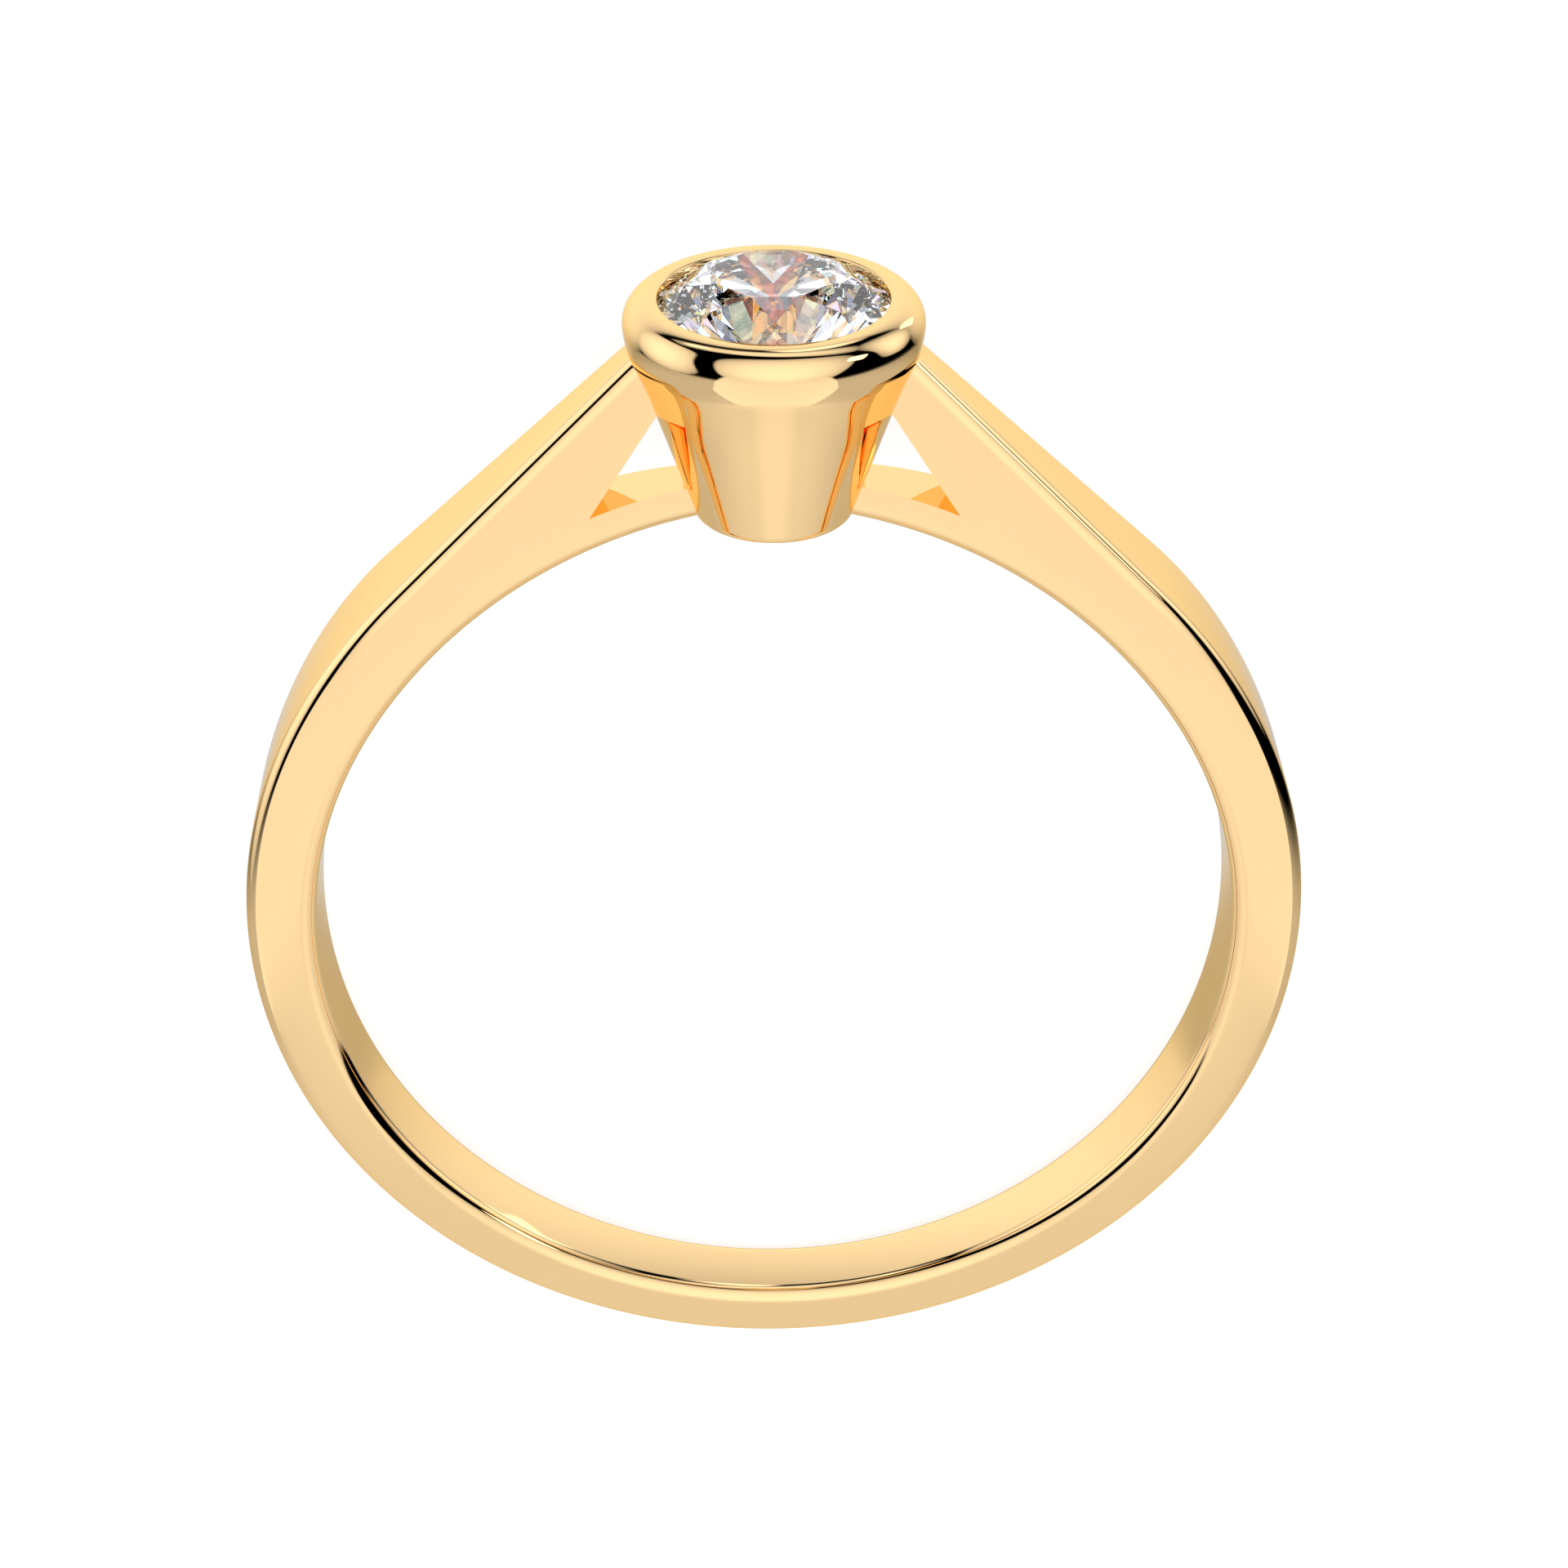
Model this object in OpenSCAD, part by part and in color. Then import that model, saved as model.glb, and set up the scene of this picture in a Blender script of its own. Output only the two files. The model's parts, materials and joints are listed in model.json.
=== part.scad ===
// Solitaire ring: one round brilliant in a tapered rubbed-over cup, on a band
// whose shoulders rise straight to the cup above a triangular window each side.
// The ring lies on its side, as it does when it is put down: front face up,
// resting on the rim of the cup and on the far edge of the band.
// Inside the modules X is across the ring, Y runs along the finger (front is -Y)
// and Z points from the middle of the finger hole up to the stone.

/* [Band] */
// Diameter of the finger hole
finger_hole_d = 17; // [16.6:0.1:17.4]
// Thickness of the band at the bottom
bottom_thickness = 1.06; // [0.9:0.02:1.4]
// Thickness of the band at the sides
side_thickness = 1.27; // [1.1:0.01:1.5]
// Width of the band at the bottom
bottom_width = 1.58; // [1.4:0.02:2.2]
// Width that the band grows to where the shoulders begin
shoulder_width = 2.5; // [2.3:0.05:2.8]

/* [Shoulders] */
// Slope of the straight shoulders, in degrees from the ring's middle plane
shoulder_slope = 45.4; // [44:0.1:47]
// Width of a shoulder where it meets the cup
shoulder_end_width = 1.26; // [1.1:0.02:1.5]
// Width that a shoulder gains for each millimetre away from the cup
shoulder_taper = 0.27; // [0.24:0.01:0.3]
// Thickness of the bar left between a window and the finger hole
bar_thickness = 0.67; // [0.6:0.01:0.8]
// Distance of a window's outer corner from the ring's middle plane
window_outer_x = 3.24; // [3.1:0.02:3.4]

/* [Cup] */
// Diameter of the cup at its foot
cup_foot_d = 2.76; // [2.6:0.02:2.9]
// Flare of the cup's wall, in degrees from upright
cup_flare = 19.3; // [18:0.1:20.5]
// Largest diameter of the rim
rim_d = 5.22; // [5.16:0.02:5.3]
// Diameter of the opening that shows the stone
rim_opening_d = 4; // [3.9:0.02:4.04]
// Height of the top of the rim above the middle of the finger hole
rim_top = 12.45; // [12.3:0.01:12.6]
// Thickness of the cup's wall
cup_wall = 0.4; // [0.38:0.01:0.44]
// Thickness of the plate that closes the foot of the cup
foot_plate = 0.5; // [0.4:0.05:0.55]
// Diameter of the round hole in that plate, below the stone's point
foot_hole_d = 1.2; // [0.8:0.1:1.6]

/* [Stone] */
// Diameter of the stone's girdle
stone_d = 4.2; // [4.16:0.01:4.24]
// Width of the table as a share of the diameter
table_share = 0.51; // [0.5:0.01:0.58]
// Angle of the crown's main facets
crown_angle = 33; // [32:0.5:35]
// Angle of the pavilion's main facets
pavilion_angle = 40.8; // [40:0.1:42]
// Share of the stone's diameter that the girdle is high
girdle_share = 0.03; // [0.02:0.005:0.04]
// Clearance between the stone and the metal
seat_gap = 0.03; // [0.02:0.01:0.05]

/* [Hidden] */
$fn = 128;

// Band: the outside is a circle set a little higher than the hole, which makes
// the bottom thinner than the sides
hole_r = finger_hole_d / 2;
band_r = hole_r + side_thickness;
band_rise = side_thickness - bottom_thickness;
band_bottom = band_rise - band_r;
shoulder_start_z = 5;
width_slope = (shoulder_width - bottom_width) / 2 / (shoulder_start_z - band_bottom);
overall = 4 * hole_r;

// Shoulders: a straight line leaves the band's circle and climbs to the cup
tangent_x = band_r * cos(shoulder_slope);
tangent_z = band_rise + band_r * sin(shoulder_slope);
shoulder_end_x = 2.4;
shoulder_end_z = tangent_z + (tangent_x - shoulder_end_x) / tan(shoulder_slope);
taper_origin_x = 2.6;
taper_from_z = 2;
shoulder_far_x = band_r + 1;

// Cup: a flared wall with its foot level with the hole and a rounded rim
foot_r = cup_foot_d / 2;
foot_z = sqrt(hole_r * hole_r - foot_r * foot_r);
rim_r = rim_d / 2;
opening_r = rim_opening_d / 2;
rim_round = 0.46;
rim_side_round = 0.9;
rim_under_round = 2;
rim_under_slope = 16;
collar_slope = 24;
rim_wide_z = rim_top - rim_round;
foot_spare = 0.3;
foot_plate_top = hole_r + foot_plate;

// Below its widest place the rim turns in slowly, then faster, and a collar that
// flares a little more than the cup carries it
rim_turn_r = rim_r - rim_under_round * (1 - cos(rim_under_slope));
rim_turn_z = rim_wide_z - rim_under_round * sin(rim_under_slope);
collar_in = rim_side_round * (cos(rim_under_slope) - cos(collar_slope));
collar_r = rim_turn_r - collar_in;
collar_z = rim_turn_z - rim_side_round * (sin(collar_slope) - sin(rim_under_slope));
collar_low_z = collar_z - (collar_r - cup_r(collar_z)) / (tan(collar_slope) - tan(cup_flare));

// Windows: the lower edge follows the finger hole, the outer edge climbs to a
// corner at the cup, and the cup itself closes the inner side
window_low_r = hole_r + bar_thickness;
window_top_x = 2.04;
window_top_z = 10.45;
window_outer_z = sqrt(window_low_r * window_low_r - window_outer_x * window_outer_x);

// Grooves in the cup's wall beside each window, front and back: their innermost
// edge at the lower and upper end, and the angle that they open by
groove_low = [1.43, 0.724, 9.16];
groove_high = [1.56, 0.93, 10.65];
groove_angle = 40;
groove_reach = 1.5;
groove_slice = 0.02;

// Stone: heights are worked up and down from the girdle
stone_r = stone_d / 2;
table_r = table_share * stone_r;
crown_h = (stone_r - table_r) * tan(crown_angle);
girdle_h = girdle_share * stone_d;
table_rise = 0.41;
table_z = rim_top + table_rise;
girdle_top = table_z - crown_h;
girdle_low = girdle_top - girdle_h;
culet_z = girdle_low - stone_r * tan(pavilion_angle);
half_step = 22.5;
star_reach = 0.5;
lower_half_reach = 0.77;
table_flat_r = table_r * cos(half_step);
star_r = table_flat_r + star_reach * (stone_r - table_flat_r);
star_z = girdle_top + (stone_r - star_r * cos(half_step)) * tan(crown_angle);
lower_r = (1 - lower_half_reach) * stone_r;
lower_z = girdle_low - (stone_r - lower_r * cos(half_step)) * tan(pavilion_angle);

// Seat: the pocket follows the stone at the clearance, over a sloping ledge
pocket_r = stone_r + seat_gap;
pocket_top = girdle_top + seat_gap;
pocket_low = girdle_low - seat_gap;
ledge_reach = 0.35;
ledge_thickness = 0.35;
ledge_r = stone_r - ledge_reach;
ledge_top = pocket_low - (pocket_r - ledge_r) * tan(pavilion_angle);
ledge_low = ledge_top - ledge_thickness;

// Lying down: the ring tips until the rim and the band's far edge share one plane
lean_dy = rim_r - rim_side_round - bottom_width / 2;
lean_dz = rim_wide_z - band_bottom;
lean = atan2(lean_dy, lean_dz) + asin(rim_side_round / norm([lean_dy, lean_dz]));
rest_lift = bottom_width / 2 * cos(lean) - band_bottom * sin(lean);
far_end = table_z * cos(lean) + table_flat_r * sin(lean);
near_end = band_bottom * cos(lean) - bottom_width / 2 * sin(lean);

function cup_r(z) = foot_r + (z - foot_z) * tan(cup_flare);
function bore_r(z) = cup_r(z) - cup_wall;
function around(radius, angle, height) = [radius * cos(angle), radius * sin(angle), height];

// Lays its children down and centres them over the origin, resting at Z = 0
module laid_down() {
    translate([0, -(far_end + near_end) / 2, rest_lift])
        rotate([-(90 - lean), 0, 0])
            children();
}

// Extrudes a front outline (X across, Z up) along the finger
module along_finger(depth = overall) {
    rotate([90, 0, 0])
        linear_extrude(depth, center = true)
            children();
}

module band_outline() {
    translate([0, band_rise]) circle(band_r);
    polygon([
        [tangent_x, tangent_z],
        [shoulder_end_x, shoulder_end_z],
        [-shoulder_end_x, shoulder_end_z],
        [-tangent_x, tangent_z]
    ]);
}

// What lies between the two flat faces of the band, seen from the side
module side_profile() {
    low = band_bottom - 1;
    high = rim_top;
    low_half = bottom_width / 2 + (low - band_bottom) * width_slope;
    high_half = bottom_width / 2 + (high - band_bottom) * width_slope;
    rotate([90, 0, 90])
        linear_extrude(overall, center = true)
            polygon([[-low_half, low], [low_half, low], [high_half, high], [-high_half, high]]);
}

// What lies between the tapering faces of the shoulders, seen from above
module shoulder_profile() {
    far_half = shoulder_end_width / 2 + (shoulder_far_x - taper_origin_x) * shoulder_taper / 2;
    mid_half = shoulder_end_width / 2 - taper_origin_x * shoulder_taper / 2;
    translate([0, 0, taper_from_z])
        linear_extrude(overall)
            polygon([
                [0, -mid_half], [shoulder_far_x, -far_half], [shoulder_far_x, far_half],
                [0, mid_half], [-shoulder_far_x, far_half], [-shoulder_far_x, -far_half]
            ]);
    translate([-overall / 2, -overall / 2, taper_from_z - overall])
        cube(overall);
}

module shank_blank() {
    intersection() {
        along_finger() band_outline();
        side_profile();
        shoulder_profile();
    }
}

module window_outline() {
    difference() {
        polygon([
            [window_outer_x, window_outer_z],
            [window_top_x, window_top_z],
            [groove_low[0], window_top_z],
            [groove_low[0], 0],
            [window_outer_x, 0]
        ]);
        circle(window_low_r);
    }
}

// One groove, in front on the right: wide outside the cup, and an edge inside it
module groove_end(edge) {
    translate([edge[0], -edge[1], edge[2]])
        linear_extrude(groove_slice)
            polygon([[0, 0], [groove_reach * tan(groove_angle), -groove_reach], [0, -groove_reach]]);
}

module groove() {
    hull() {
        groove_end(groove_low);
        groove_end(groove_high);
    }
}

module front_and_back() {
    children();
    mirror([0, 1, 0]) children();
}

module both_sides() {
    children();
    mirror([1, 0, 0]) children();
}

// Half of the cup's section, before it is hollowed
module cup_section() {
    steps = 6;
    rim_low = [for (i = [0:steps])
        let (t = rim_under_slope * i / steps)
        [rim_r - rim_under_round * (1 - cos(t)), rim_wide_z - rim_under_round * sin(t)]];
    rim_side = [for (i = [1:steps])
        let (t = rim_under_slope + (collar_slope - rim_under_slope) * i / steps)
        [rim_turn_r - rim_side_round * (cos(rim_under_slope) - cos(t)),
         rim_turn_z - rim_side_round * (sin(t) - sin(rim_under_slope))]];
    polygon(concat(
        [[0, foot_z - foot_spare], [0, rim_wide_z]],
        rim_low,
        rim_side,
        [[cup_r(collar_low_z), collar_low_z], [cup_r(foot_z - foot_spare), foot_z - foot_spare]]
    ));
    translate([0, rim_wide_z])
        square([rim_r - rim_round, rim_round]);
    intersection() {
        translate([rim_r - rim_round, rim_wide_z]) circle(rim_round);
        translate([rim_r - rim_round, rim_wide_z])
            square(rim_round);
    }
}

module cup_blank() {
    rotate_extrude() cup_section();
}

// The hollow of the cup, from the hole in its foot up to the stone's seat and lip
module cup_hollow() {
    under = foot_z - 2 * foot_spare;
    over = rim_top + 1;
    rotate_extrude()
        polygon([
            [0, under],
            [foot_hole_d / 2, under],
            [foot_hole_d / 2, foot_plate_top],
            [bore_r(foot_plate_top), foot_plate_top],
            [bore_r(ledge_low), ledge_low],
            [ledge_r, ledge_low],
            [ledge_r, ledge_top],
            [pocket_r, pocket_low],
            [pocket_r, pocket_top],
            [opening_r, pocket_top + (pocket_r - opening_r) * tan(crown_angle)],
            [opening_r, over],
            [0, over]
        ]);
}

module finger_hole() {
    rotate([90, 0, 0])
        cylinder(h = overall, r = hole_r, center = true);
}

// Band, shoulders and cup are cast and soldered into one piece of metal
module ring_mount() {
    color("gold")
        laid_down()
            difference() {
                union() {
                    difference() {
                        shank_blank();
                        both_sides() along_finger() window_outline();
                    }
                    cup_blank();
                }
                both_sides() front_and_back() groove();
                cup_hollow();
                finger_hole();
            }
}

// A large block whose face passes through three points and that lies on the
// side towards the stone's middle
module inside_facet(a, b, c) {
    raw = cross(b - a, c - a);
    middle = [0, 0, girdle_top];
    outward = raw * (a - middle) > 0 ? raw : -raw;
    size = 4 * stone_d;
    translate(a)
        rotate([0, acos(outward[2] / norm(outward)), atan2(outward[1], outward[0])])
            translate([-size / 2, -size / 2, -size])
                cube(size);
}

// The facets of one eighth of the crown: main, star and the two upper halves
module crown_facets(angle) {
    main_tip = around(stone_r, angle, girdle_top);
    table_corner = around(table_r, angle, table_z);
    next_corner = around(table_r, angle + 2 * half_step, table_z);
    next_tip = around(stone_r, angle + 2 * half_step, girdle_top);
    star_tip = around(star_r, angle + half_step, star_z);
    girdle_mid = around(stone_r, angle + half_step, girdle_top);
    last_star = around(star_r, angle - half_step, star_z);
    intersection() {
        inside_facet(table_corner, last_star, star_tip);
        inside_facet(table_corner, next_corner, star_tip);
        inside_facet(main_tip, girdle_mid, star_tip);
        inside_facet(next_tip, girdle_mid, star_tip);
    }
}

// The facets of one eighth of the pavilion: main and the two lower halves
module pavilion_facets(angle) {
    main_tip = around(stone_r, angle, girdle_low);
    next_tip = around(stone_r, angle + 2 * half_step, girdle_low);
    lower_tip = around(lower_r, angle + half_step, lower_z);
    last_lower = around(lower_r, angle - half_step, lower_z);
    girdle_mid = around(stone_r, angle + half_step, girdle_low);
    culet = [0, 0, culet_z];
    intersection() {
        inside_facet(culet, last_lower, lower_tip);
        inside_facet(main_tip, girdle_mid, lower_tip);
        inside_facet(next_tip, girdle_mid, lower_tip);
    }
}

// Round brilliant with 57 facets: table, 8 stars, 8 mains, 16 upper halves,
// 16 lower halves and 8 pavilion mains; a flat of the table faces the front
module round_stone() {
    color("white")
        laid_down()
            intersection() {
                translate([0, 0, culet_z - 1])
                    cylinder(h = table_z - culet_z + 1, r = stone_r);
                intersection_for(i = [0:7])
                    crown_facets(half_step + i * 2 * half_step);
                intersection_for(i = [0:7])
                    pavilion_facets(half_step + i * 2 * half_step);
            }
}

ring_mount();
round_stone();
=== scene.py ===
import json
import math

import bpy
from mathutils import Matrix, Vector


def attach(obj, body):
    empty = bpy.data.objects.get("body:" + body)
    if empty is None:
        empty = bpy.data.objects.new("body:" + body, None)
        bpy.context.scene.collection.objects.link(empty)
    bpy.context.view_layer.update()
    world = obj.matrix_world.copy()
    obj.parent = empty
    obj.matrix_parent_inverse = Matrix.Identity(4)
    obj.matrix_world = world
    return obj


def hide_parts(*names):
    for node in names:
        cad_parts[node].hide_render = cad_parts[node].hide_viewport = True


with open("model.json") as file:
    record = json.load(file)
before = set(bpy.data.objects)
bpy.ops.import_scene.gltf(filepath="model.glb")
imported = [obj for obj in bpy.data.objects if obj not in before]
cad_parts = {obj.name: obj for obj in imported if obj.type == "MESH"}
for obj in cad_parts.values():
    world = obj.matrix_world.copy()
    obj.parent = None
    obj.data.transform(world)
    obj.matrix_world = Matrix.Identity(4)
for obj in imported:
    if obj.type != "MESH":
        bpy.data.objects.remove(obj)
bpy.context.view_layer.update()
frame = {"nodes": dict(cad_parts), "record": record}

# Sizes are in millimetres and turned into metres by MM. The ring is modelled upright around
# the middle of its finger hole (X across, -Y the front, Z up to the stone) and then laid down.
MM = 0.001
HOLE_MOUNT = frame["record"]["mounts"][0]
HOLE_R = HOLE_MOUNT["dims"]["r_mm"]

# Band
SIDE_THICKNESS = 1.27
BOTTOM_THICKNESS = 1.06
BAND_R = HOLE_R + SIDE_THICKNESS
BAND_RISE = SIDE_THICKNESS - BOTTOM_THICKNESS
BAND_BOTTOM = BAND_RISE - BAND_R
BOTTOM_HALF = 0.79
SHOULDER_HALF = 1.25
SHOULDER_START_Z = 5.0
WIDTH_SLOPE = (SHOULDER_HALF - BOTTOM_HALF) / (SHOULDER_START_Z - BAND_BOTTOM)
EDGE_ROUND = 0.3
EDGE_ROUND_STEPS = 8
AROUND_STEPS = 256

# Shoulders
SHOULDER_SLOPE = math.radians(45.4)
TANGENT = (BAND_R * math.cos(SHOULDER_SLOPE), BAND_RISE + BAND_R * math.sin(SHOULDER_SLOPE))
SHOULDER_MID_HALF = 0.279
SHOULDER_TAPER = 0.135
SHOULDER_STEPS = 40
BEND_BLEND = 0.17
BAR_END_X = 2.2
BAR_END_INSIDE_X = 1.25

# Cup
FOOT_R = 1.38
FOOT_Z = 8.4
FLARE = math.tan(math.radians(19.3))
CUP_WALL = 0.4
RIM_R = 2.61
RIM_TOP = 12.45
RIM_ROUND = 0.46
RIM_WIDE_Z = RIM_TOP - RIM_ROUND
# Below its widest place the rim turns in slowly, then faster, and meets a collar that flares
# a little more than the cup: (radius of the curve, slope in degrees where it ends)
RIM_UNDER = ((RIM_ROUND, 4), (2.0, 16), (0.9, 24))
COLLAR_ROUND = 10.0
OPENING_R = 2.0
LIP_ROUND = 0.04
FOOT_ROUND = 0.05
FOOT_PLATE_TOP = HOLE_R + 0.5
FOOT_HOLE_R = 0.6
# Rows of faces up the outside of the cup, and the heights of those down its inside
WALL_ROWS = 24
INSIDE_ROWS = (11.0, 10.5, 10.0, 9.5)

# Seat of the stone
STONE_R = 2.1
POCKET_R = STONE_R + 0.03
POCKET_TOP = 12.22
POCKET_LOW = 12.04
LEDGE_R = 1.75
LEDGE_TOP = 11.71
LEDGE_LOW = 11.36

# Windows, as corners (x, z) on the right-hand side
WINDOW_LOW_R = HOLE_R + 0.67
WINDOW_TOP = (2.04, 10.45)
WINDOW_OUTER_X = 3.24
WINDOW_INNER_X = 1.43
WINDOW_TOP_Z = 10.62
WINDOW_STEPS = 24
WINDOW_TOOL_HALF = 3

# Grooves in the cup's wall beside the windows: the ends of the innermost edge of the one in
# front on the right, and the angle that it opens by
GROOVE_LOW = (1.43, -0.724, 9.16)
GROOVE_HIGH = (1.56, -0.93, 10.65)
GROOVE_ANGLE = math.radians(40)
GROOVE_REACH = 1.5

# How near a point lies to a curve that it is on, and the angle past which an edge stays sharp
NEAR = 0.01
NEAR_RING = 0.001
SHARP_ANGLE = math.radians(28)

# Materials: colours, the size of the noise in them (per metre) and what it changes
GOLD_COLOURS = ((0.995, 0.704, 0.36), (1.0, 0.716, 0.373))
GOLD_EDGE_COLOUR = (1.0, 0.84, 0.55, 1)
GOLD_ROUGHNESS = (0.022, 0.04)
GOLD_NOISE = 1800
RIPPLE_NOISE = 700
RIPPLE_HEIGHT = 4e-7
RIPPLE_STRENGTH = 0.3
STONE_COLOURS = ((0.985, 0.99, 1.0), (1.0, 1.0, 1.0))
STONE_NOISE = 900
STONE_IOR = 2.42
FLOOR_COLOURS = ((0.48, 0.515, 0.56), (0.5, 0.535, 0.58))
FLOOR_NOISE = 600
FLOOR_ROUGHNESS = 0.6
FLOOR_GLOW = 0.6

# Camera, fitted to the photograph
CAMERA_AZIMUTH = math.radians(-1.156)
CAMERA_ELEVATION = math.radians(30.81)
CAMERA_DISTANCE = 68.88
CAMERA_TARGET = (0.1805, 0.0, 2.739)
CAMERA_ROLL = math.radians(0.048)
FRAME_PIXELS = 1920
FOCAL_PIXELS = 4581
FILM_WIDTH = 36

# Studio. A fade is where it starts and ends, and the light at either end.
FLOOR_LIGHT = 1.25
LOW_GLOW = (-0.58, -0.3, 0.62, 0)
FAN_EDGE = 0.45
FAN_SOFT = 0.02
FAN_TOP_SOFT = 0.03
STONE_BOUNCES = 16
SPARKLE_SCALE = 5.0
SPARKLE_LIGHT = (0.1, 0.75, 0.3, 1.7)
SPARKLE_COLOUR = (0.3, 1.0, 0.0, 0.35)
SPARKLE_CAST = (0.92, 0.99, 1.1)
# The low card's glow is a painted reflection of the floor, with the ring's shadow painted in beside
# it
LOW_CARD_R = 17.1
LOW_CARD_SOFT = 2
LOW_CARD_BELOW = 0.3
# Painted shade across the low card, in millimetres: in front of the ring, behind it, and to its
# sides
LOW_CARD_FRONT = (-17.4, -3.8, 0.96, 0.827)
LOW_CARD_BACK = (0, 15, 1, 0.698)
LOW_CARD_SIDES = (7.96, 25.1, 1, 0.629)
# A painted highlight on the low card: a soft bright patch in front of the ring
PATCH_SCALE = (0.263, 0.175, 0)
PATCH_OFFSET = (-0.0375, 1.89, 0)
PATCH_GLOW = (0, 2.2, 0.104, 0)

# Places of the colour sockets on a Mix node
MIX_LOW = 6
MIX_HIGH = 7
MIX_OUT = 2


def ring_to_row():
    """The matrix that lays the upright ring down where its finger hole is in the frame."""
    finger = -Vector(HOLE_MOUNT["axis"]).normalized()
    across = Vector((1, 0, 0))
    up = across.cross(finger)
    turn = Matrix((across, finger, up)).transposed().to_4x4()
    return Matrix.Translation(Vector(HOLE_MOUNT["pos_m"])) @ turn


LAY_DOWN = ring_to_row()
LAY_TURN = LAY_DOWN.to_3x3()


def metres(*values):
    return tuple(v * MM for v in values)


def deselect():
    bpy.ops.object.select_all(action="DESELECT")


def name_it(name):
    piece = bpy.context.active_object
    piece.name = name
    piece.data.name = name
    return piece


def pick(piece):
    deselect()
    piece.select_set(True)
    bpy.context.view_layer.objects.active = piece


def apply_place(piece):
    pick(piece)
    bpy.ops.object.transform_apply(location=True, rotation=True, scale=True)


def edit(piece):
    pick(piece)
    bpy.ops.object.mode_set(mode="EDIT")
    bpy.ops.mesh.select_all(action="DESELECT")


def leave_edit():
    bpy.ops.object.mode_set(mode="OBJECT")


def face_outwards():
    """Turns every face of the piece in edit mode outwards, and leaves edit mode."""
    bpy.ops.mesh.select_all(action="SELECT")
    bpy.ops.mesh.normals_make_consistent(inside=False)
    leave_edit()


def choose_edges(piece, wanted):
    """Selects the edges whose two ends pass the test together. Called in edit mode."""
    leave_edit()
    bpy.context.tool_settings.mesh_select_mode = (False, True, False)
    for v in piece.data.vertices:
        v.select = False
    for f in piece.data.polygons:
        f.select = False
    for e in piece.data.edges:
        a, b = (piece.data.vertices[i].co / MM for i in e.vertices)
        e.select = wanted(a, b)
    bpy.ops.object.mode_set(mode="EDIT")


def carve(piece, tool, operation="DIFFERENCE"):
    """Cuts the tool out of the piece, or joins it on, and removes the tool."""
    pick(piece)
    cut = piece.modifiers.new("carve", "BOOLEAN")
    cut.operation = operation
    cut.solver = "EXACT"
    cut.object = tool
    bpy.ops.object.modifier_apply(modifier=cut.name)
    bpy.data.objects.remove(tool, do_unlink=True)


def prism(name, outline, low_y, high_y):
    """A block with the given (x, z) outline, made from a face that is extruded along the finger."""
    deselect()
    bpy.ops.mesh.primitive_circle_add(vertices=len(outline), radius=MM, fill_type="NGON")
    piece = name_it(name)
    for corner, (x, z) in zip(piece.data.vertices, outline):
        corner.co = metres(x, low_y, z)
    edit(piece)
    bpy.ops.mesh.select_all(action="SELECT")
    bpy.ops.mesh.extrude_region_move(TRANSFORM_OT_translate={"value": metres(0, high_y - low_y, 0)})
    face_outwards()
    return piece


def turned(name, profile, closed):
    """A shape turned round the cup's axis, ring by ring, from (radius, height) pairs.

    A closed profile joins its last ring to its first. An open one is capped at both ends.
    """
    deselect()
    first_r, first_z = profile[0]
    bpy.ops.mesh.primitive_circle_add(
        vertices=AROUND_STEPS, radius=first_r * MM, fill_type="NOTHING" if closed else "NGON",
        location=metres(0, 0, first_z))
    piece = name_it(name)
    apply_place(piece)
    edit(piece)
    bpy.ops.mesh.select_all(action="SELECT")
    for (r0, z0), (r1, z1) in zip(profile, profile[1:]):
        bpy.ops.mesh.extrude_edges_move(TRANSFORM_OT_translate={"value": metres(0, 0, z1 - z0)})
        share = r1 / r0
        bpy.ops.transform.resize(value=(share, share, 1), center_override=metres(0, 0, z1))
    if closed:
        choose_edges(piece, lambda a, b: on_ring(a, b, profile[0]) or on_ring(a, b, profile[-1]))
        bpy.ops.mesh.bridge_edge_loops()
    else:
        bpy.ops.mesh.edge_face_add()
    face_outwards()
    return piece


def on_ring(a, b, spot):
    """Whether both ends of an edge are on the ring with this (radius, height)."""
    radius, height = spot
    return all(abs(math.hypot(p.x, p.y) - radius) < NEAR_RING and abs(p.z - height) < NEAR_RING
               for p in (a, b))


def arc(centre, radius, start, end, steps):
    """Points on an arc in (radius, height), with angles in degrees from outwards to up."""
    turn = [math.radians(start + (end - start) * i / steps) for i in range(steps + 1)]
    return [(centre[0] + radius * math.cos(t), centre[1] + radius * math.sin(t)) for t in turn]


def flat_half(x, z):
    """Half the width of band and shoulders. The two tapers run into each other in a soft bend."""
    band = BOTTOM_HALF + (z - BAND_BOTTOM) * WIDTH_SLOPE
    shoulder = SHOULDER_MID_HALF + abs(x) * SHOULDER_TAPER
    apart = abs(band - shoulder)
    if z < 0 or apart > BEND_BLEND:
        return band if z < 0 else min(band, shoulder)
    return min(band, shoulder) - (BEND_BLEND - apart) ** 2 / (4 * BEND_BLEND)


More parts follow.
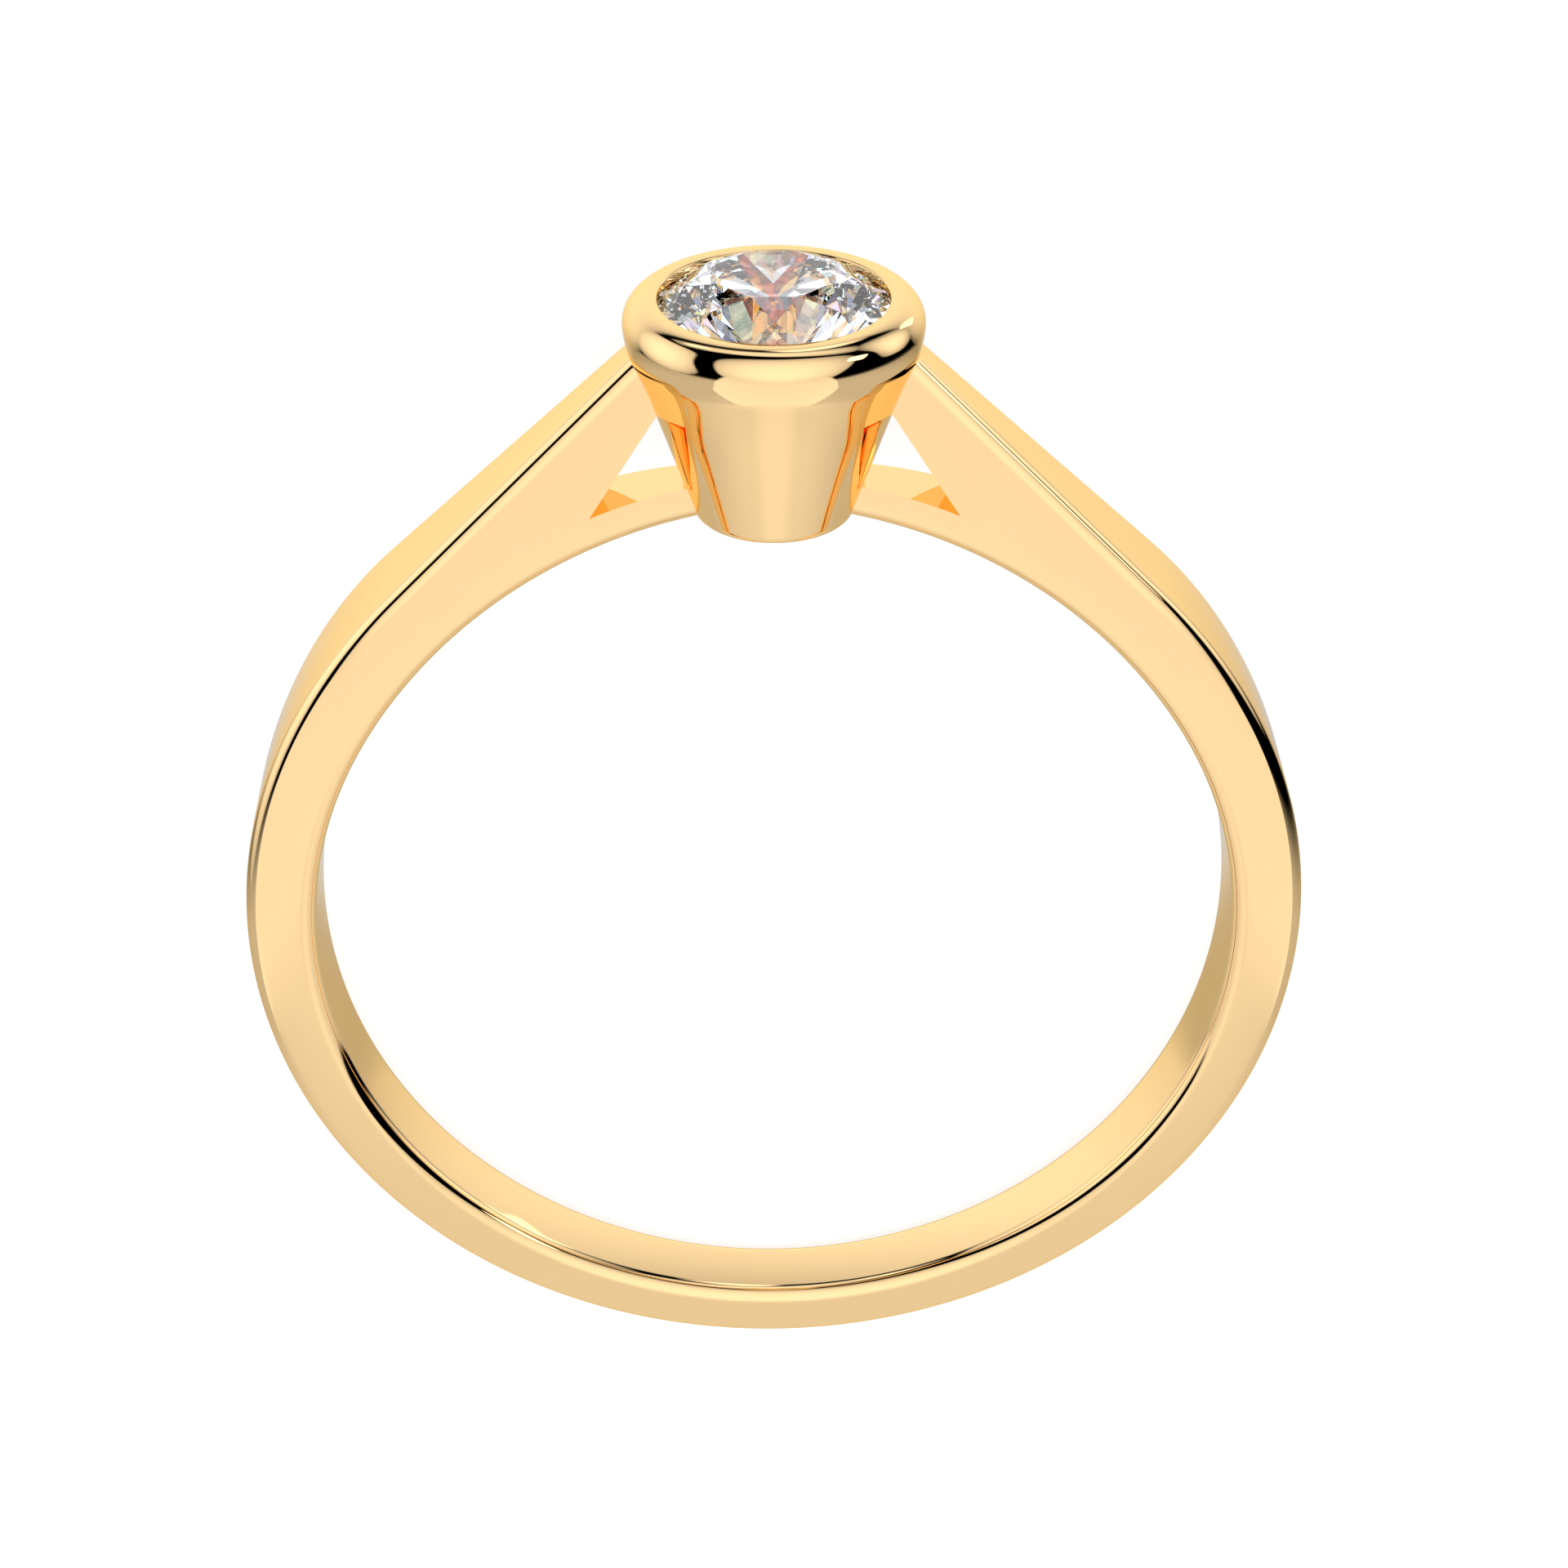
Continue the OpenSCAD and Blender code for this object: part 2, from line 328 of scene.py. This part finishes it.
def band_stations():
    """Pairs of points (x, z), inside and outside, from the right of the cup round to its left."""
    right = []
    low, high = math.atan2(TANGENT[1], TANGENT[0]), math.acos(BAR_END_INSIDE_X / HOLE_R)
    for i in range(SHOULDER_STEPS):
        share = 1 - i / SHOULDER_STEPS
        turn = low + (high - low) * share
        x = TANGENT[0] + (BAR_END_X - TANGENT[0]) * share
        z = TANGENT[1] + (TANGENT[0] - x) / math.tan(SHOULDER_SLOPE)
        right.append(((HOLE_R * math.cos(turn), HOLE_R * math.sin(turn)), (x, z)))
    bow = []
    sweep = math.pi + 2 * SHOULDER_SLOPE
    for i in range(AROUND_STEPS + 1):
        t = SHOULDER_SLOPE - sweep * i / AROUND_STEPS
        x, z = BAND_R * math.cos(t), BAND_RISE + BAND_R * math.sin(t)
        far = math.hypot(x, z)
        bow.append(((HOLE_R * x / far, HOLE_R * z / far), (x, z)))
    left = [((-xi, zi), (-xo, zo)) for (xi, zi), (xo, zo) in reversed(right)]
    return right + bow + left


def make_bar():
    """A straight square bar, cut into short lengths, that is bent round to the band."""
    stations = band_stations()
    lengths = len(stations) - 1
    deselect()
    bpy.ops.mesh.primitive_grid_add(x_subdivisions=lengths, y_subdivisions=1, size=1)
    piece = name_it("shank")
    edit(piece)
    bpy.ops.mesh.select_all(action="SELECT")
    bpy.ops.mesh.extrude_region_move(TRANSFORM_OT_translate={"value": (0, 0, 1)})
    leave_edit()
    for corner in piece.data.vertices:
        station = stations[round((corner.co.x + 0.5) * lengths)]
        x, z = station[1] if corner.co.y > 0 else station[0]
        side = 1 if corner.co.z > 0.5 else -1
        corner.co = metres(x, side * flat_half(x, z), z)
    edit(piece)
    face_outwards()
    return piece


def round_band_edges(piece):
    """Rounds the long edges inside and outside, front and back."""
    def outside(p):
        on_bow = abs(math.hypot(p.x, p.z - BAND_RISE) - BAND_R) < NEAR and p.z < TANGENT[1] + NEAR
        climb = (TANGENT[0] - abs(p.x)) / math.tan(SHOULDER_SLOPE) + TANGENT[1]
        return on_bow or (p.z > TANGENT[1] - NEAR and abs(p.z - climb) < NEAR)

    def inside(p):
        return abs(math.hypot(p.x, p.z) - HOLE_R) < NEAR

    def long_edge(a, b):
        return a.y * b.y > 0 and ((outside(a) and outside(b)) or (inside(a) and inside(b)))

    edit(piece)
    choose_edges(piece, long_edge)
    bpy.ops.mesh.bevel(offset=EDGE_ROUND * MM, offset_type="OFFSET", segments=EDGE_ROUND_STEPS,
                       profile=0.5, affect="EDGES", clamp_overlap=False)
    leave_edit()


def window_outline(side):
    """The corners (x, z) of a window, whose lower edge follows the finger hole."""
    start, end = (math.acos(x / WINDOW_LOW_R) for x in (WINDOW_OUTER_X, WINDOW_INNER_X))
    turn = [start + (end - start) * i / WINDOW_STEPS for i in range(WINDOW_STEPS + 1)]
    low = [(WINDOW_LOW_R * math.cos(t), WINDOW_LOW_R * math.sin(t)) for t in turn]
    outline = low + [(WINDOW_INNER_X, WINDOW_TOP_Z), WINDOW_TOP]
    return [(side * x, z) for x, z in outline]


def make_shank():
    """The band and the shoulders with their windows."""
    piece = make_bar()
    round_band_edges(piece)
    for side in (-1, 1):
        outline = window_outline(side)
        carve(piece, prism("window_tool", outline, -WINDOW_TOOL_HALF, WINDOW_TOOL_HALF))
    return piece


def cup_r(z):
    """The outside radius of the cup's wall at a height."""
    return FOOT_R + (z - FOOT_Z) * FLARE


def rim_under():
    """The rim's outside below its widest place, with the soft hollow where it meets the cup."""
    r, z, slope = RIM_R, RIM_WIDE_Z, 0.0
    curve = []
    for round_r, end in RIM_UNDER:
        lean = math.radians(slope)
        centre = (r - round_r * math.cos(lean), z + round_r * math.sin(lean))
        part = arc(centre, round_r, -slope, -end, 5)[1:]
        curve += part
        r, z = part[-1]
        slope = end
    collar, wall = math.tan(math.radians(slope)), FLARE
    meet_z = z - (r - cup_r(z)) / (collar - wall)
    wall_slope = math.degrees(math.atan(wall))
    reach = COLLAR_ROUND * math.tan(math.radians((slope - wall_slope) / 2))
    low_z = meet_z - reach * math.cos(math.radians(wall_slope))
    low = (cup_r(low_z), low_z)
    side = math.radians(180 - wall_slope)
    centre = (low[0] - COLLAR_ROUND * math.cos(side), low[1] - COLLAR_ROUND * math.sin(side))
    hollow = arc(centre, COLLAR_ROUND, 180 - wall_slope, 180 - slope, 6)
    return hollow + curve[::-1]


def cup_profile():
    """The closed section of the cup: up the outside, over the rim, and down past the seat."""
    under = rim_under()
    low, high = FOOT_Z + FOOT_ROUND, under[0][1]
    wall = [(cup_r(z), z) for z in (low + (high - low) * i / WALL_ROWS for i in range(WALL_ROWS))]
    foot_in = FOOT_R - FOOT_ROUND
    foot = [(foot_in, FOOT_Z)] + [
        (foot_in + FOOT_ROUND * math.sin(t), FOOT_Z + FOOT_ROUND - FOOT_ROUND * math.cos(t))
        for t in (math.radians(a) for a in (30, 60))]
    top = arc((RIM_R - RIM_ROUND, RIM_WIDE_Z), RIM_ROUND, 0, 90, 16)
    lip = arc((OPENING_R + LIP_ROUND, RIM_TOP - LIP_ROUND), LIP_ROUND, 90, 180, 4)
    seat = [
        (OPENING_R, POCKET_TOP + (POCKET_R - OPENING_R) * 0.65),
        (POCKET_R, POCKET_TOP), (POCKET_R, POCKET_LOW), (LEDGE_R, LEDGE_TOP), (LEDGE_R, LEDGE_LOW),
    ]
    heights = (LEDGE_LOW, *INSIDE_ROWS, FOOT_PLATE_TOP)
    inside = [(cup_r(z) - CUP_WALL, z) for z in heights]
    foot_hole = [(FOOT_HOLE_R, FOOT_PLATE_TOP), (FOOT_HOLE_R, FOOT_Z)]
    return foot + wall + under + top + lip + seat + inside + foot_hole


def make_cup():
    return turned("cup", cup_profile(), closed=True)


def make_plug():
    """Clears the metal of the shoulders from the inside of the cup."""
    middle = CUP_WALL / 2
    low, high = FOOT_Z - 1, RIM_TOP
    return turned("plug", [(cup_r(low) - middle, low), (cup_r(LEDGE_LOW) - middle, LEDGE_LOW),
                           (LEDGE_R + 0.2, high)], closed=False)


def make_groove_tool(side, face):
    """A wedge that narrows inwards to an edge, from a cube whose inner side is closed up."""
    deselect()
    bpy.ops.mesh.primitive_cube_add(size=1)
    tool = name_it("groove_tool")
    for corner in tool.data.vertices:
        x, y, z = GROOVE_HIGH if corner.co.z > 0 else GROOVE_LOW
        if corner.co.y < 0:
            y -= GROOVE_REACH
            if corner.co.x > 0:
                x += GROOVE_REACH * math.tan(GROOVE_ANGLE)
        corner.co = metres(side * x, face * y, z)
    edit(tool)
    bpy.ops.mesh.select_all(action="SELECT")
    bpy.ops.mesh.remove_doubles(threshold=1e-7)
    face_outwards()
    return tool


def make_mount():
    """All the metal as one piece, laid down."""
    mount = make_shank()
    carve(mount, make_plug())
    carve(mount, make_cup(), "UNION")
    for side in (-1, 1):
        for face in (-1, 1):
            carve(mount, make_groove_tool(side, face))
    mount.name = "gold_mount"
    mount.data.name = "gold_mount"
    pick(mount)
    bpy.ops.object.shade_smooth_by_angle(angle=SHARP_ANGLE)
    weigh = mount.modifiers.new("weigh", "WEIGHTED_NORMAL")
    weigh.keep_sharp = True
    weigh.weight = 50
    bpy.ops.object.modifier_apply(modifier=weigh.name)
    mount.matrix_world = LAY_DOWN
    apply_place(mount)
    return mount


def aim(azimuth, elevation):
    """A direction in the upright ring's frame, with azimuth 0 in front and growing to the right."""
    return Vector((math.sin(azimuth) * math.cos(elevation),
                   -math.cos(azimuth) * math.cos(elevation), math.sin(elevation)))


def make_camera():
    """The photograph's camera, turned with the ring."""
    back = aim(CAMERA_AZIMUTH, CAMERA_ELEVATION)
    target = Vector(CAMERA_TARGET)
    place = Matrix.Translation((target + back * CAMERA_DISTANCE) * MM)
    turn = (-back).to_track_quat("-Z", "Y").to_matrix().to_4x4()
    roll = Matrix.Rotation(CAMERA_ROLL, 4, "Z")
    data = bpy.data.cameras.new("camera")
    data.sensor_width = FILM_WIDTH
    data.lens = data.sensor_width * FOCAL_PIXELS / FRAME_PIXELS
    data.clip_start = 0.001
    data.clip_end = 10
    camera = bpy.data.objects.new("camera", data)
    bpy.context.scene.collection.objects.link(camera)
    camera.matrix_world = LAY_DOWN @ place @ turn @ roll
    bpy.context.scene.camera = camera


def speckle(tree, per_metre, detail=3.0):
    """A fine even noise, 0 to 1, fixed to the piece."""
    noise = tree.nodes.new("ShaderNodeTexNoise")
    noise.inputs["Scale"].default_value = per_metre
    noise.inputs["Detail"].default_value = detail
    tree.links.new(tree.nodes.new("ShaderNodeTexCoord").outputs["Object"], noise.inputs["Vector"])
    return noise.outputs["Fac"]


def between(tree, value, low, high):
    """A colour that goes from low to high with the value."""
    mixed = tree.nodes.new("ShaderNodeMix")
    mixed.data_type = "RGBA"
    tree.links.new(value, mixed.inputs["Factor"])
    mixed.inputs[MIX_LOW].default_value = (*low, 1)
    mixed.inputs[MIX_HIGH].default_value = (*high, 1)
    return mixed.outputs[MIX_OUT]


def gold_material():
    """Polished gold: the polish varies a little, and leaves the faintest of ripples."""
    mat = bpy.data.materials.new("polished_gold")
    mat.use_nodes = True
    tree = mat.node_tree
    shader = tree.nodes["Principled BSDF"]
    polish = speckle(tree, GOLD_NOISE)
    tree.links.new(between(tree, polish, *GOLD_COLOURS), shader.inputs["Base Color"])
    tree.links.new(ramp(tree, polish, 0.3, 0.7, *GOLD_ROUGHNESS), shader.inputs["Roughness"])
    shader.inputs["Specular Tint"].default_value = GOLD_EDGE_COLOUR
    shader.inputs["Metallic"].default_value = 1.0
    ripple = tree.nodes.new("ShaderNodeBump")
    ripple.inputs["Strength"].default_value = RIPPLE_STRENGTH
    ripple.inputs["Distance"].default_value = RIPPLE_HEIGHT
    tree.links.new(speckle(tree, RIPPLE_NOISE, 1.0), ripple.inputs["Height"])
    tree.links.new(ripple.outputs["Normal"], shader.inputs["Normal"])
    return mat


def stone_material():
    """Clear and colourless, with the slightest cool cast in places."""
    mat = bpy.data.materials.new("clear_stone")
    mat.use_nodes = True
    tree = mat.node_tree
    shader = tree.nodes["Principled BSDF"]
    tree.links.new(between(tree, speckle(tree, STONE_NOISE), *STONE_COLOURS),
                   shader.inputs["Base Color"])
    shader.inputs["Roughness"].default_value = 0.0
    shader.inputs["IOR"].default_value = STONE_IOR
    shader.inputs["Transmission Weight"].default_value = 1.0
    return mat


def make_floor():
    """The plain white surface that the ring lies on, which isn't mirrored in it."""
    deselect()
    bpy.ops.mesh.primitive_plane_add(size=2.0)
    floor = name_it("floor")
    mat = bpy.data.materials.new("floor_white")
    mat.use_nodes = True
    tree = mat.node_tree
    shader = tree.nodes["Principled BSDF"]
    tree.links.new(between(tree, speckle(tree, FLOOR_NOISE), *FLOOR_COLOURS),
                   shader.inputs["Base Color"])
    shader.inputs["Roughness"].default_value = FLOOR_ROUGHNESS
    shader.inputs["Specular IOR Level"].default_value = 0.0
    shader.inputs["Emission Color"].default_value = (1, 1, 1, 1)
    shader.inputs["Emission Strength"].default_value = FLOOR_GLOW
    floor.data.materials.append(mat)
    floor.visible_glossy = False
    floor.visible_transmission = False


def node(tree, kind, operation=None, **values):
    """A new node. A value named i0 goes to its first input, i1 to the second, and so on."""
    made = tree.nodes.new(kind)
    if operation:
        made.operation = operation
    for socket, value in values.items():
        made.inputs[int(socket[1:])].default_value = value
    return made


def card_group():
    """One flat light card at a great distance, with soft edges and rounded corners."""
    tree = bpy.data.node_groups.new("light_card", "ShaderNodeTree")
    for name in ("Direction", "Middle", "Sideways", "Upwards", "Lean"):
        tree.interface.new_socket(name, in_out="INPUT", socket_type="NodeSocketVector")
    for name in ("Softness", "Fall", "Light"):
        tree.interface.new_socket(name, in_out="INPUT", socket_type="NodeSocketFloat")
    tree.interface.new_socket("Light", in_out="OUTPUT", socket_type="NodeSocketFloat")
    given = tree.nodes.new("NodeGroupInput")
    result = tree.nodes.new("NodeGroupOutput")
    link = tree.links.new
    ahead = node(tree, "ShaderNodeVectorMath", "DOT_PRODUCT")
    link(given.outputs["Direction"], ahead.inputs[0])
    link(given.outputs["Middle"], ahead.inputs[1])
    # the place on the card, 1 at its edges
    place = tree.nodes.new("ShaderNodeCombineXYZ")
    for i, axis in enumerate(("Sideways", "Upwards")):
        along = node(tree, "ShaderNodeVectorMath", "DOT_PRODUCT")
        link(given.outputs["Direction"], along.inputs[0])
        link(given.outputs[axis], along.inputs[1])
        slope = node(tree, "ShaderNodeMath", "DIVIDE")
        link(along.outputs["Value"], slope.inputs[0])
        link(ahead.outputs["Value"], slope.inputs[1])
        link(slope.outputs[0], place.inputs[i])
    squares = node(tree, "ShaderNodeVectorMath", "MULTIPLY")
    link(place.outputs[0], squares.inputs[0])
    link(place.outputs[0], squares.inputs[1])
    # a square with well rounded corners and soft edges
    reach = node(tree, "ShaderNodeVectorMath", "LENGTH")
    link(squares.outputs[0], reach.inputs[0])
    inner = node(tree, "ShaderNodeMath", "SUBTRACT", i0=1.0)
    link(given.outputs["Softness"], inner.inputs[1])
    outer = node(tree, "ShaderNodeMath", "ADD", i0=1.0)
    link(given.outputs["Softness"], outer.inputs[1])
    edge = tree.nodes.new("ShaderNodeMapRange")
    edge.interpolation_type = "SMOOTHSTEP"
    link(reach.outputs["Value"], edge.inputs["Value"])
    link(inner.outputs[0], edge.inputs["From Min"])
    link(outer.outputs[0], edge.inputs["From Max"])
    edge.inputs["To Min"].default_value = 1.0
    edge.inputs["To Max"].default_value = 0.0
    facing = node(tree, "ShaderNodeMath", "GREATER_THAN", i1=0.001)
    link(ahead.outputs["Value"], facing.inputs[0])
    # light: leans across the card and falls off to its corners
    spread = node(tree, "ShaderNodeVectorMath", "DOT_PRODUCT", i1=(1, 1, 0))
    link(squares.outputs[0], spread.inputs[0])
    fading = node(tree, "ShaderNodeMath", "MULTIPLY")
    link(spread.outputs["Value"], fading.inputs[0])
    link(given.outputs["Fall"], fading.inputs[1])
    lean = node(tree, "ShaderNodeVectorMath", "DOT_PRODUCT")
    link(place.outputs[0], lean.inputs[0])
    link(given.outputs["Lean"], lean.inputs[1])
    level = node(tree, "ShaderNodeMath", "SUBTRACT")
    link(lean.outputs["Value"], level.inputs[0])
    link(fading.outputs[0], level.inputs[1])
    kept = node(tree, "ShaderNodeMath", "ADD", i1=1.0)
    link(level.outputs[0], kept.inputs[0])
    factors = [given.outputs["Light"], edge.outputs[0], facing.outputs[0], kept.outputs[0]]
    link(product(tree, factors), result.inputs["Light"])
    return tree


# The studio as the ring sees it, in degrees in the upright ring's frame: where the middle of
# each card is, half its width and height, its roll, its soft edge, its light, how much that
# falls off to the corners, and how it leans sideways and upwards.
CARDS = {
    "front": dict(middle=(7, 27.6), half=(48.4, 53.6), roll=-11, soft=0.122,
                  light=1.25, fall=0.462, lean=(-0.0428, -0.112)),
    "front_low": dict(middle=(0.7, -35), half=(40.5, 60), roll=0, soft=0.12,
                      light=1.04, fall=0, lean=(0, -0.35)),
    "floor": dict(middle=(-3.4, -89.9), half=(52.2, 75.2), roll=-6.6, soft=0.334,
                  light=0.787, fall=0.479, lean=(-0.0117, 0.113)),
    "left": dict(middle=(-95.4, 9.9), half=(31.6, 41.5), roll=26.3, soft=0.129,
                 light=1.3, fall=0.506, lean=(0.126, 0.0939)),
    "right": dict(middle=(109.5, 24.9), half=(21, 32), roll=-19.7, soft=0.129,
                  light=1.26, fall=0.744, lean=(-0.172, -0.113)),
    "back": dict(middle=(184.5, 2.6), half=(65, 45.3), roll=-0.5, soft=0.249,
                 light=1.15, fall=0.747, lean=(0.0451, 0.216)),
    "overhead": dict(middle=(169.3, 72.7), half=(36.1, 12.6), roll=-4.9, soft=0.13,
                     light=1.13, fall=0.776, lean=(0.0774, 0.205)),
    "right_spark": dict(middle=(70.4, 32.8), half=(7.5, 7.3), roll=-41.6, soft=0.17,
                        light=2.17, fall=0.0661, lean=(-0.0703, 0.0144)),
    "left_back_spark": dict(middle=(-137.1, 58.7), half=(7.8, 5.4), roll=-34.8, soft=0.25,
                            light=1.8, fall=0.819, lean=(-0.0218, -0.0971)),
    "right_back_spark": dict(middle=(136.4, 22.6), half=(5.5, 9.1), roll=6.2, soft=0.3,
                             light=1.94, fall=0.101, lean=(-0.073, 0.0144)),
    "back_spark": dict(middle=(164.6, 51.4), half=(9.2, 8.8), roll=27.3, soft=0.281,
                       light=1.56, fall=0.64, lean=(0.38, -0.0242)),
}


def ramp(tree, value, start, end, low, high):
    """A soft step from low to high while the value goes from start to end."""
    made = tree.nodes.new("ShaderNodeMapRange")
    made.interpolation_type = "SMOOTHSTEP"
    tree.links.new(value, made.inputs["Value"])
    made.inputs["From Min"].default_value = start
    made.inputs["From Max"].default_value = end
    made.inputs["To Min"].default_value = low
    made.inputs["To Max"].default_value = high
    return made.outputs["Result"]


def chain(tree, operation, values):
    """The values put together two by two, from the first on."""
    total = values[0]
    for value in values[1:]:
        step = node(tree, "ShaderNodeMath", operation)
        tree.links.new(total, step.inputs[0])
        tree.links.new(value, step.inputs[1])
        total = step.outputs[0]
    return total


def product(tree, factors):
    return chain(tree, "MULTIPLY", factors)


def towards(tree, direction, way):
    """How much a direction points the given way on the upright ring, from -1 to 1."""
    made = node(tree, "ShaderNodeVectorMath", "DOT_PRODUCT", i1=LAY_TURN @ Vector(way))
    tree.links.new(direction, made.inputs[0])
    return made.outputs["Value"]


def lower_front(tree, direction):
    """1 inside a round area about the front, below the horizon, with crisp edges."""
    ahead = towards(tree, direction, (0, -1, 0))
    up = towards(tree, direction, (0, 0, 1))
    return product(tree, [
        ramp(tree, ahead, FAN_EDGE - FAN_SOFT, FAN_EDGE + FAN_SOFT, 0, 1),
        ramp(tree, up, -FAN_TOP_SOFT, 0.0, 1, 0),
    ])


def stone_light(tree, direction):
    """What the stone sees through its facets: many small white and pastel lights."""
    cells = node(tree, "ShaderNodeTexVoronoi")
    cells.feature = "F1"
    cells.inputs["Scale"].default_value = SPARKLE_SCALE
    tree.links.new(direction, cells.inputs["Vector"])
    chance = tree.nodes.new("ShaderNodeSeparateColor")
    tree.links.new(cells.outputs["Color"], chance.inputs["Color"])
    light = ramp(tree, chance.outputs["Red"], *SPARKLE_LIGHT)
    tint = tree.nodes.new("ShaderNodeCombineColor")
    tint.mode = "HSV"
    tree.links.new(chance.outputs["Green"], tint.inputs[0])
    tree.links.new(ramp(tree, chance.outputs["Blue"], *SPARKLE_COLOUR), tint.inputs[1])
    tint.inputs[2].default_value = 1.0
    cool = node(tree, "ShaderNodeVectorMath", "MULTIPLY", i1=SPARKLE_CAST)
    tree.links.new(tint.outputs["Color"], cool.inputs[0])
    return light, cool.outputs[0]


def add_card(tree, group, direction, name, card):
    """One of the cards in the world, and the light that it gives in this direction."""
    middle = aim(*(math.radians(angle) for angle in card["middle"]))
    sideways = Vector((0, 0, 1)).cross(middle).normalized()
    upwards = middle.cross(sideways)
    roll = Matrix.Rotation(math.radians(card["roll"]), 3, middle)
    wide, high = (math.tan(math.radians(half)) for half in card["half"])
    made = tree.nodes.new("ShaderNodeGroup")
    made.node_tree = group
    made.label = name
    tree.links.new(direction, made.inputs["Direction"])
    given = {
        "Middle": LAY_TURN @ middle,
        "Sideways": LAY_TURN @ roll @ sideways / wide,
        "Upwards": LAY_TURN @ roll @ upwards / high,
        "Softness": card["soft"],
        "Fall": card["fall"],
        "Lean": (*card["lean"], 0),
        "Light": card["light"],
    }
    for socket, value in given.items():
        made.inputs[socket].default_value = value
    return made.outputs["Light"]


def make_world():
    """White for the floor and the background, and the cards for all that is mirrored."""
    world = bpy.data.worlds.new("studio")
    bpy.context.scene.world = world
    world.use_nodes = True
    # mirrored rays find the cards by themselves, and the rest of the light is even
    world.cycles.sampling_method = "NONE"
    tree = world.node_tree
    link = tree.links.new
    direction = tree.nodes.new("ShaderNodeTexCoord").outputs["Generated"]
    group = card_group()
    lights = []
    for name, card in CARDS.items():
        light = add_card(tree, group, direction, name, card)
        if name == "front_low":
            light = product(tree, [light, lower_front(tree, direction)])
        lights.append(light)
    lights.append(ramp(tree, towards(tree, direction, (0, 0, 1)), *LOW_GLOW))
    total = chain(tree, "MAXIMUM", lights)
    path = tree.nodes.new("ShaderNodeLightPath")
    choice = tree.nodes.new("ShaderNodeMix")
    link(path.outputs["Is Glossy Ray"], choice.inputs["Factor"])
    choice.inputs["A"].default_value = FLOOR_LIGHT
    link(total, choice.inputs["B"])
    sparkle, tint = stone_light(tree, direction)
    light = tree.nodes.new("ShaderNodeMix")
    link(path.outputs["Is Transmission Ray"], light.inputs["Factor"])
    link(choice.outputs["Result"], light.inputs["A"])
    link(sparkle, light.inputs["B"])
    colour = tree.nodes.new("ShaderNodeMix")
    colour.data_type = "RGBA"
    link(path.outputs["Is Transmission Ray"], colour.inputs["Factor"])
    colour.inputs[MIX_LOW].default_value = (1, 1, 1, 1)
    link(tint, colour.inputs[MIX_HIGH])
    background = tree.nodes["Background"]
    link(colour.outputs[MIX_OUT], background.inputs["Color"])
    link(light.outputs["Result"], background.inputs["Strength"])


def make_low_card():
    """A round pale card below the band, which only mirrored rays see. It fades out at its edge. Its
    glow is a painted reflection of the floor: painted shadow dims it beside the ring, and a painted
    highlight brightens a patch in front.
    """
    deselect()
    bpy.ops.mesh.primitive_circle_add(vertices=64, radius=(LOW_CARD_R + LOW_CARD_SOFT) * MM,
                                      fill_type="NGON",
                                      location=metres(0, 0, BAND_BOTTOM - LOW_CARD_BELOW))
    card = name_it("low_card")
    apply_place(card)
    card.matrix_world = LAY_DOWN
    mat = bpy.data.materials.new("low_card")
    mat.use_nodes = True
    tree = mat.node_tree
    link = tree.links.new
    tree.nodes.clear()
    place = node(tree, "ShaderNodeVectorMath", "MULTIPLY", i1=(1 / MM, 1 / MM, 0))
    link(tree.nodes.new("ShaderNodeTexCoord").outputs["Object"], place.inputs[0])
    split = tree.nodes.new("ShaderNodeSeparateXYZ")
    link(place.outputs[0], split.inputs[0])
    away = node(tree, "ShaderNodeMath", "ABSOLUTE")
    link(split.outputs["X"], away.inputs[0])
    # painted shade: dim beside the ring where its shadow would fall, and brighter in front of it
    # than behind it or to its sides
    painted_floor_shade = product(tree, [
        ramp(tree, split.outputs["Y"], *LOW_CARD_FRONT),
        ramp(tree, split.outputs["Y"], *LOW_CARD_BACK),
        ramp(tree, away.outputs[0], *LOW_CARD_SIDES),
    ])
    # and a painted highlight: a soft bright patch in front
    patch = node(tree, "ShaderNodeVectorMath", "MULTIPLY_ADD", i1=PATCH_SCALE, i2=PATCH_OFFSET)
    link(place.outputs[0], patch.inputs[0])
    square = node(tree, "ShaderNodeVectorMath", "DOT_PRODUCT")
    link(patch.outputs[0], square.inputs[0])
    link(patch.outputs[0], square.inputs[1])
    painted_highlight = ramp(tree, square.outputs["Value"], *PATCH_GLOW)
    glow = tree.nodes.new("ShaderNodeEmission")
    link(chain(tree, "ADD", [painted_floor_shade, painted_highlight]), glow.inputs["Strength"])
    far = node(tree, "ShaderNodeVectorMath", "LENGTH")
    link(place.outputs[0], far.inputs[0])
    inner, outer = LOW_CARD_R - LOW_CARD_SOFT, LOW_CARD_R + LOW_CARD_SOFT
    fade = ramp(tree, far.outputs["Value"], inner, outer, 0, 1)
    blend = tree.nodes.new("ShaderNodeMixShader")
    link(fade, blend.inputs["Fac"])
    link(glow.outputs[0], blend.inputs[1])
    link(tree.nodes.new("ShaderNodeBsdfTransparent").outputs[0], blend.inputs[2])
    link(blend.outputs[0], tree.nodes.new("ShaderNodeOutputMaterial").inputs["Surface"])
    card.data.materials.append(mat)
    card.visible_camera = False
    card.visible_diffuse = False
    card.visible_shadow = False


bpy.context.scene.view_settings.view_transform = "Standard"
# light turns back many times inside a cut stone before it leaves
for limit in ("max_bounces", "glossy_bounces", "transmission_bounces"):
    setattr(bpy.context.scene.cycles, limit, STONE_BOUNCES)
make_camera()
make_floor()
make_world()
make_low_card()
mount = make_mount()
mount.data.materials.clear()
mount.data.materials.append(gold_material())
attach(mount, "root")
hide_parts("ring_mount")
stone = frame["nodes"]["round_stone"]
stone.data.materials.clear()
stone.data.materials.append(stone_material())
